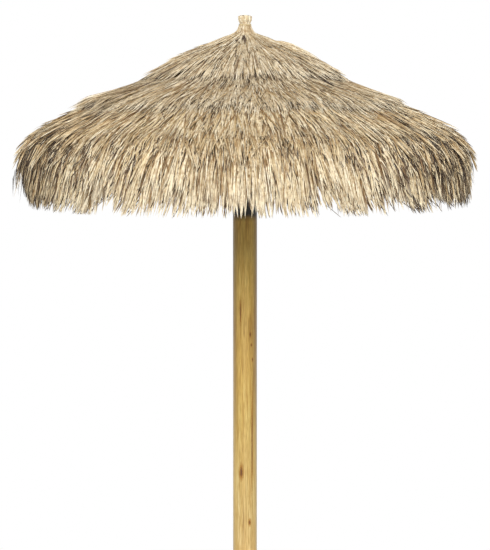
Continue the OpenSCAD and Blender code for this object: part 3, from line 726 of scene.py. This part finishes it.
# On the sunny side the hem has worn back to the eave hoop.
tip = tip - LOWER_WORN * part_way(sunward, 0.93, 0.98) * (tip > lower_end - 0.10)
lean, _, edge_of = bundled(rng, bearing, tip, 150, 0.25)
# The sunny end is the palest, and the far one has gone brown with damp.
sunny, damp = part_way(sunward, 0.5, 1), part_way(-sunward, 0.5, 1)
# On the flanks and where handfuls part, more dark reeds are painted, as shade.
lower_outer = face_reeds(
    lower_line, rng, bearing, tip, even(0.14, 0.30), even(0.0045, 0.0085), 0.10,
    age=about(0.26, 0.15) + 0.52 * damp - 0.28 * sunny,
    pale=0.52 - 0.16 * side + 0.12 * sunny, dark=0.24 + 0.06 * side + 0.08 * damp, shadow_slits=0.11,
    parted=edge_of, room=0.014, loose=np.where(hem, 0.15, 0.1),
    droop=0.011 * part_way(tip, lower_end - 0.12, lower_end) + 0.2 * np.clip(tip - lower_end - 0.03, 0, 1),
    taut=even(0, 1), shares=(0, 0.5), girth=(0.85, 1.0), lean=lean)

# Some reeds have sprung loose: they keep straight where the row turns down, and stand off the roof.
STRAYS = 520
STRAY_SHAPE = {"shares": (0, 0.4, 0.8), "girth": (0.8, 1.0, 0.8)}
even, about = draws(rng, STRAYS)
short = even(0, 1) < 0.75
tip = lower_end + np.where(short, even(-0.30, 0.10), even(-0.15, -0.05))
lift = 0.024 * even(0, 1) ** 1.5 * (tip < lower_end - 0.10)
length = np.where(short, even(0.08, 0.13), even(0.22, 0.36))
lower_strays = lay_reeds(
    lower_line, rng, even(0, math.tau), tip, length, even(0.006, 0.009), root_over=-0.008,
    tip_over=even(-0.006, 0.004) + lift, sway=about(0, 0.18), tone=even(0.1, 1), age=even(0, 0.8),
    spring=np.where(short, 1, even(0.2, 0.8)), **STRAY_SHAPE)

# Where the row turns down, stiff handfuls stand off it as pointed tufts.
TUFTS = 150
TUFT_REEDS = 7
tuft_rng = np.random.default_rng(37)
even_tuft, about_tuft = draws(tuft_rng, TUFTS)
even, about = draws(tuft_rng, TUFTS * TUFT_REEDS)
tuft = np.repeat(np.arange(TUFTS), TUFT_REEDS)
apart = about(0, 0.016)
tip = lower_end + even_tuft(-0.14, 0.07)[tuft] + about(0, 0.014)
tufts = lay_reeds(
    lower_line, tuft_rng, even_tuft(0, math.tau)[tuft] + apart, tip,
    even_tuft(0.10, 0.16)[tuft] * even(0.85, 1.1), even(0.0045, 0.0075), root_over=-0.008,
    tip_over=even(-0.006, 0.002), sway=about_tuft(0, 0.12)[tuft] + about(0, 0.06),
    tone=even(0.3, 1), age=even(0.2, 0.8), lean=-0.5 * apart, pale_root=0.25,
    spring=even_tuft(0.5, 1.0)[tuft], **STRAY_SHAPE)

lower_mat = mat_under(lower_line, rng, 0, math.tau, 0.004, lower_end - 0.18, 0.9)
even, _ = draws(rng, LOWER_INNER_REEDS)
lower_inner = inner_reeds(lower_line, rng, even(0, math.tau), even(0.2, 0.34), (0.2, 0.32), 0.3)
thatch_piece("lower_reeds", [lower_outer, lower_strays, tufts, lower_mat, lower_inner], golden_reed,
             ["lower_thatch"])


# The upper row is tied to the crown hoop and ends part way down the lower row. It has stood in the
# weather longest: bleached at the tips, and brown near its top just under the crown's hem, which is
# partly the weather and partly painted shade under that hem.

upper_line = row_line(
    [slope(crown_hoop[0] - ROW_TOP_BACK, 1), slope(crown_hoop[0] + EASE, 1),
     slope(upper_hoop[0] - ROW_TOP_BACK - EASE, 2), slope(upper_hoop[0] + EASE, 2),
     slope(lower_hoop[0] - ROW_TOP_BACK - EASE, 2.7), slope(lower_hoop[0] + 0.001, 2.45)])
upper_end = upper_line[0, -1]
UPPER_REEDS = 9600
UPPER_INNER_REEDS = 420
UPPER_WORN = 0.07


def worn_side(bearing):
    """How far a bearing is on the sunny side, where this row has worn back and lies flatter."""
    return part_way(np.cos(bearing), 0.90, 0.96)


rng = np.random.default_rng(52)
even, about = draws(rng, UPPER_REEDS)
bearing = even(0, math.tau)
hem = even(0, 1) < 0.28
tip = np.where(hem, upper_end + about(0.010, 0.036), upper_end - 0.42 + 0.44 * even(0, 1) ** 0.8)
tip = tip - UPPER_WORN * worn_side(bearing) * (tip > upper_end - 0.10)
# Towards its top, under the crown's hem, the row is painted older and darker: partly weathering, partly
# painted shade.
down = part_way(tip, upper_end - 0.36, upper_end - 0.06)
lean, _, edge_of = bundled(rng, bearing, tip, 110, 0.25)
upper_outer = face_reeds(
    upper_line, rng, bearing, tip, even(0.14, 0.27), even(0.0042, 0.008), 0.10,
    age=0.90 - 0.85 * down + about(0, 0.12) + 0.25 * part_way(-np.cos(bearing), 0.5, 1),
    pale=np.where(hem, 0.86, 0.36 + 0.18 * down), dark=0.35 - 0.22 * down,
    shadow_slits=np.where(hem, 0.06, 0.105), parted=edge_of,
    droop=0.010 * part_way(tip, upper_end - 0.05, upper_end + 0.03) + 0.009 * worn_side(bearing) * down,
    shares=(0, 0.5), girth=(0.85, 1.0), lean=lean)

even, about = draws(rng, STRAYS)
tip = upper_end + even(-0.05, 0.06)
bearing = even(0, math.tau)
sunny = worn_side(bearing)
upper_strays = lay_reeds(
    upper_line, rng, bearing, tip - UPPER_WORN * sunny, even(0.20, 0.30), even(0.006, 0.009),
    root_over=-0.008, tip_over=0.018 * even(0, 1) ** 2 * (1 - sunny) - 0.006 * sunny,
    sway=about(0, 0.16), tone=even(0.3, 1), age=even(0.1, 0.7), **STRAY_SHAPE)
upper_mat = mat_under(upper_line, rng, 0, math.tau, 0.004, upper_end - 0.11, 1.0)
even, _ = draws(rng, UPPER_INNER_REEDS)
upper_inner = inner_reeds(upper_line, rng, even(0, math.tau), even(0.2, 0.32), (0.2, 0.3), 0.3)
thatch_piece("upper_reeds", [upper_outer, upper_strays, upper_mat, upper_inner], weathered_reed,
             ["upper_thatch"])


# The crown is one long bundle of reeds bound round the peg and spread out over the upper row. Above
# the twine the cut ends flare as a topknot.

WAIST_RADIUS = 0.0265
crown_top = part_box("crown_thatch")[1][2]
twine_low, twine_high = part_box("neck_twine")
waist_z = (twine_low[2] + twine_high[2]) / 2
neck_flare = slope(0.094 - 0.095 * math.sin(pitch), 3, dip=0.005)
neck_middle = np.array([(WAIST_RADIUS + neck_flare[0]) / 2 - 0.011,
                        neck_flare[1] + 0.24 * (waist_z - 0.008 - neck_flare[1])])
crown_line = row_line(
    [(WAIST_RADIUS, waist_z + 0.008), (WAIST_RADIUS + 0.001, waist_z - 0.008), neck_middle, neck_flare,
     slope(crown_hoop[0] - ROW_TOP_BACK - EASE, 3), slope(crown_hoop[0] + 3 * EASE, 3),
     slope(crown_hoop[0] + 0.18, 2.45)], spacing=0.002)
crown_end = crown_line[0, -1]
CROWN_REEDS = 4800

rng = np.random.default_rng(73)
even, about = draws(rng, CROWN_REEDS)
bearing = even(0, math.tau)
sunward = np.cos(bearing)
sunny = np.clip(sunward, 0, 1)
tip = np.where(even(0, 1) < 0.35, crown_end + about(0.035, 0.022),
               0.10 + (crown_end - 0.07) * np.sqrt(even(0.02, 1)))
crown_outer = face_reeds(
    crown_line, rng, bearing, tip, np.minimum(even(0.16, 0.34), tip - 0.004),
    even(0.0045, 0.0075) * np.clip(tip / 0.2, 0.6, 1), 0.07,
    age=about(0.50, 0.16) - np.where(sunward > 0, 0.30, 0.10) * sunward,
    pale=0.24 + 0.14 * sunny, dark=0.46 - 0.12 * sunny, flank_shade=0.1,
    droop=0.009 * part_way(tip, crown_end - 0.05, crown_end + 0.03),
    shares=(0, 0.14, 0.32, 0.6, 0.85), girth=(0.7, 0.85, 1.0, 1.0, 0.7), pale_root=0.35,
    lean=bundled(rng, bearing, tip, 60, 0.3)[0])

even, about = draws(rng, STRAYS)
crown_strays = lay_reeds(
    crown_line, rng, even(0, math.tau), even(0.22, crown_end + 0.05), even(0.12, 0.2),
    even(0.005, 0.008), root_over=-0.006, tip_over=0.010 * even(0, 1) ** 2, sway=about(0, 0.12),
    tone=even(0.2, 1), age=even(0.1, 0.7), pale_root=0.3, **STRAY_SHAPE)

# Down the neck the outermost reeds lie clean and close, like the strings of a broom.
NECK_REEDS = 260
even, about = draws(rng, NECK_REEDS)
tip = even(0.085, 0.26)
neck = lay_reeds(
    crown_line, rng, even(0, math.tau), tip, tip - 0.003, even(0.0045, 0.0080),
    root_over=even(-0.003, 0), tip_over=even(-0.005, 0.001), sway=about(0, 0.03),
    tone=even(0.25, 1), age=even(0.1, 0.5), shares=(0, 0.12, 0.26, 0.44, 0.66, 0.86),
    girth=(0.7, 0.8, 0.9, 1.0, 0.95, 0.6), pale_root=0.55)
crown_mat = mat_under(crown_line, rng, 0, math.tau, 0.03, crown_end - 0.10, 1.0, top=0.019,
                      under=0.024, column=0.02)


def distance_at(line, radius):
    """How far down a row's line a radius is reached."""
    return np.interp(radius, line[1], line[0])


# The last bundle rides over the first one: it stands up in a low hump and comes down to the roof.
LAP_REEDS = 300
LAP_TURN = math.radians(46)
LAP_RISE = 0.019
even, about = draws(rng, LAP_REEDS)
across = even(0, 1) ** 1.2
root = distance_at(crown_line, 0.145 + 0.03 * even(0, 1) ** 2)
tip = distance_at(crown_line, 0.315) + about(0, 0.022)
lapped = lay_reeds(
    crown_line, rng, LAP_TURN * (across - 0.3), tip, tip - root, even(0.006, 0.010),
    root_over=even(-0.012, -0.001), tip_over=even(-0.010, 0.002), sway=about(0, 0.05),
    hump=LAP_RISE * (1 - np.abs(2 * across - 0.7)) * even(0, 1) ** 0.5,
    tone=rng.beta(3, 1.1, LAP_REEDS), age=even(0.0, 0.3), shares=(0, 0.16, 0.36, 0.6, 0.82),
    girth=(0.8, 1.0, 1.0, 0.95, 0.6), pale_root=0.3)

# In front, just under the neck, the bundles part: a few near-black reeds there are painted shade, the dark
# inside.
PARTING_SHADE_REEDS = 12
even, about = draws(rng, PARTING_SHADE_REEDS)
tip = distance_at(crown_line, even(0.10, 0.20))
parting_shade_reeds = lay_reeds(
    crown_line, rng, math.radians(-90) + about(0, 0.030), tip, tip - distance_at(crown_line, 0.060),
    even(0.004, 0.0065), root_over=-0.002, tip_over=even(-0.003, 0.002), sway=about(0, 0.16),
    tone=even(0, 0.12), age=np.ones(PARTING_SHADE_REEDS))
thatch_piece("crown_reeds", [crown_outer, crown_strays, neck, crown_mat, lapped, parting_shade_reeds],
             weathered_reed, ["crown_thatch"])


# The topknot is the butt ends of the crown reeds, trimmed level above the twine. They are cleaner
# and paler than the rest, because the binding kept the weather off them.

knot_line = row_line([(0.0330, crown_top), (0.0350, crown_top - 0.010), (0.0335, waist_z + 0.019),
                      (WAIST_RADIUS - 0.001, waist_z + 0.006), (WAIST_RADIUS - 0.002, waist_z - 0.010),
                      (WAIST_RADIUS + 0.004, waist_z - 0.028)], spacing=0.0012)
knot_end = knot_line[0, -1]
KNOT_REEDS = 300
rng = np.random.default_rng(91)
even, about = draws(rng, KNOT_REEDS)
depth = even(0, 1)
knot_reeds = lay_reeds(
    knot_line, rng, even(0, math.tau), knot_end,
    knot_end - np.abs(about(0, 0.0016)) + 0.005 - 0.010 * (1 - depth) ** 2, even(0.0045, 0.0065),
    root_over=-0.002 - 0.027 * depth, tip_over=-0.003 - 0.010 * depth, sway=about(0, 0.03),
    tone=np.where(even(0, 1) < 0.10, 0.1, rng.beta(6, 1, KNOT_REEDS)), age=even(0, 0.12),
    shares=(0, 0.25, 0.5, 0.75), girth=(1.05, 1.0, 1.0, 0.9), roll=0.3, pale_root=0.75)
thatch_piece("topknot_reeds", [knot_reeds], golden_reed, [])


# Three turns of jute twine bind the crown reeds to the peg. They lie side by side in the waist and
# are drawn tight, so that the neck narrows there.

TWINE_RADIUS = 0.0015
TWINE_TURNS = 3
TURN_RISE = 0.0038
# Real fibres are finer: they are drawn 1 mm wide, so that they show.
FUZZ_SIZE = 0.001111


def twine_along(name, paths, material, nodes, closed=False):
    """Round twine laid along one or more paths."""
    curve = bpy.data.curves.new(name, "CURVE")
    curve.dimensions = "3D"
    curve.bevel_depth = TWINE_RADIUS
    curve.bevel_resolution = 1
    curve.use_fill_caps = True
    for path in paths:
        spline = curve.splines.new("POLY")
        spline.points.add(len(path) - 1)
        spline.points.foreach_set("co", np.column_stack([path, np.ones(len(path))]).ravel())
        spline.use_cyclic_u = closed
    dress(name, curve, material, nodes)


def jute_twine():
    """Jute twine: pale straw brown and matt, with a fuzz of lighter and darker fibres."""
    material, tree, place = bare_material("jute_twine")
    fuzz = add(tree, "TexNoise", {"Vector": place, "Scale": 1 / FUZZ_SIZE, "Detail": 3})
    colour = add(tree, "ValToRGB", {"Fac": fuzz}, ramp=[(0.3, "a58e62"), (0.5, "d8c493"), (0.7, "efe2bd")])
    shade = add(tree, "BsdfPrincipled", {"Base Color": colour, "Roughness": 0.85, "IOR": 1.45})
    add(tree, "OutputMaterial", {"Surface": shade})
    return material


twine = jute_twine()
turn = np.linspace(0, TWINE_TURNS * math.tau, TWINE_TURNS * 36 + 1)
binding = np.column_stack([
    (WAIST_RADIUS + TWINE_RADIUS) * np.cos(turn), (WAIST_RADIUS + TWINE_RADIUS) * np.sin(turn),
    waist_z + TURN_RISE * (TWINE_TURNS / 2 - turn / math.tau)])
twine_along("neck_binding", [binding], twine, ["neck_twine"])


# Every hand's breadth a lashing of the same twine goes round a hoop and up through the head of the
# row above it, two turns at a time. It leaves room for the rafters.

LASHING_SPACING = 0.09
TURNS_APART = 0.0045
RAFTER_ROOM = 0.045


def lashing(centre, bearing, lean):
    """One turn of a lashing round a hoop, as a closed loop."""
    turn = np.linspace(0, math.tau, 14, endpoint=False)
    reach = cane_radius + TWINE_RADIUS + 0.0004
    high = np.where(np.sin(turn) > 0, 1.5, 1.0)
    out = centre[0] + reach * (np.cos(turn) * math.cos(pitch) + high * np.sin(turn) * math.sin(pitch))
    up = centre[1] + reach * (high * np.sin(turn) * math.cos(pitch) - np.cos(turn) * math.sin(pitch))
    round_it = bearing + lean * np.cos(turn) / centre[0]
    return np.column_stack([out * np.cos(round_it), out * np.sin(round_it), up])


lashings = []
rng = np.random.default_rng(64)
for centre in (eave_hoop, lower_hoop, upper_hoop, crown_hoop):
    count = int(math.tau * centre[0] / LASHING_SPACING)
    for k in range(count):
        bearing = math.tau * (k + rng.uniform(-0.2, 0.2)) / count
        from_rafter = abs((bearing / side_turn) % 1 - 0.5) * side_turn * centre[0]
        if from_rafter > RAFTER_ROOM:
            for step in (-0.5, 0.5):
                beside = bearing + step * TURNS_APART / centre[0]
                lashings.append(lashing(centre, beside, rng.uniform(0.002, 0.005)))
twine_along("hoop_lashings", lashings, twine, [], closed=True)


# The stand: a pale floor that turns white away from the post, light from all round, a small high
# lamp that draws the shadows between the reeds, and a broad soft one in front.

def pale_floor():
    """Matt pale floor that keeps the shadow near the post and is plain white further off."""
    material, tree, place = bare_material("pale_floor")
    seen = add(tree, "LightPath").outputs["Is Camera Ray"]
    tint = add(tree, "Mix", {"Factor": seen, 6: linear("c0beb9"), 7: linear("f4f3f0")}, **OVER)
    matt = add(tree, "BsdfDiffuse", {"Color": tint})
    white = add(tree, "Emission", {"Color": linear("ffffff"), "Strength": 1})
    away = add(tree, "VectorMath", {0: place}, operation="LENGTH")
    far = add(tree, "MapRange", {"Value": away, "From Min": 1.25, "From Max": 2.1},
              interpolation_type="SMOOTHSTEP")
    plain = add(tree, "Math", {0: seen, 1: far}, operation="MULTIPLY")
    both = add(tree, "MixShader", {0: plain, 1: matt, 2: white})
    # From below, the floor isn't there, so that the underside of the roof can be looked at.
    under = add(tree, "NewGeometry").outputs["Backfacing"]
    below = add(tree, "Math", {0: under, 1: seen}, operation="MULTIPLY")
    shown = add(tree, "MixShader", {0: below, 1: both, 2: add(tree, "BsdfTransparent")})
    add(tree, "OutputMaterial", {"Surface": shown})
    return material


FLOOR_RADIUS = 7
floor_mesh = bpy.data.meshes.new("floor")
ring = np.linspace(0, math.tau, 64, endpoint=False)
rim = np.column_stack([FLOOR_RADIUS * np.cos(ring), FLOOR_RADIUS * np.sin(ring), np.zeros(64)])
floor_mesh.from_pydata(rim.tolist(), [], [list(range(64))])
floor_mesh.materials.append(pale_floor())
floor = bpy.data.objects.new("floor", floor_mesh)
bpy.context.scene.collection.objects.link(floor)

world = bpy.data.worlds.new("studio")
bpy.context.scene.world = world
world.use_nodes = True
sky = world.node_tree
sky.nodes.clear()
ray = add(sky, "LightPath")
seen = add(sky, "Math", {0: ray.outputs["Is Camera Ray"], 1: ray.outputs["Is Glossy Ray"]},
           operation="MAXIMUM")
seen = add(sky, "Math", {0: seen, 1: ray.outputs["Is Transmission Ray"]}, operation="MAXIMUM")
level = add(sky, "MapRange", {"Value": seen, "To Min": 0.20, "To Max": 1})
light = add(sky, "Background", {"Color": linear("ffffff"), "Strength": level})
add(sky, "OutputWorld", {"Surface": light})

# Each lamp: its strength, and in degrees how soft it is, how far from overhead, and how far aside.
for name, energy, soft, from_up, from_side in (("high_lamp", 0.95, 4, 32, 8),
                                               ("front_lamp", 2.9, 30, 64, -3)):
    lamp = bpy.data.lights.new(name, "SUN")
    lamp.energy = energy
    lamp.angle = math.radians(soft)
    stand = bpy.data.objects.new(name, lamp)
    stand.rotation_euler = (math.radians(from_up), 0, math.radians(from_side))
    bpy.context.scene.collection.objects.link(stand)

# The picture is 2.618 m high at the post, and the camera stands well back, so that it sees little
# of the top of the roof.
CAMERA_AWAY = 12.0
CAMERA_UP = 2.62
AIM_UP = 1.70
VIEW_HEIGHT = 2.618
camera_data = bpy.data.cameras.new("camera")
camera_data.sensor_fit = "AUTO"
camera_data.sensor_width = 36
distance = math.hypot(CAMERA_AWAY, CAMERA_UP - AIM_UP)
camera_data.lens = camera_data.sensor_width * distance / VIEW_HEIGHT
camera_data.clip_end = 100
camera = bpy.data.objects.new("camera", camera_data)
camera.location = (0, -CAMERA_AWAY, CAMERA_UP)
camera.rotation_euler = (math.pi / 2 - math.atan2(CAMERA_UP - AIM_UP, CAMERA_AWAY), 0, 0)
bpy.context.scene.collection.objects.link(camera)
bpy.context.scene.camera = camera

bpy.context.scene.view_settings.view_transform = "Standard"
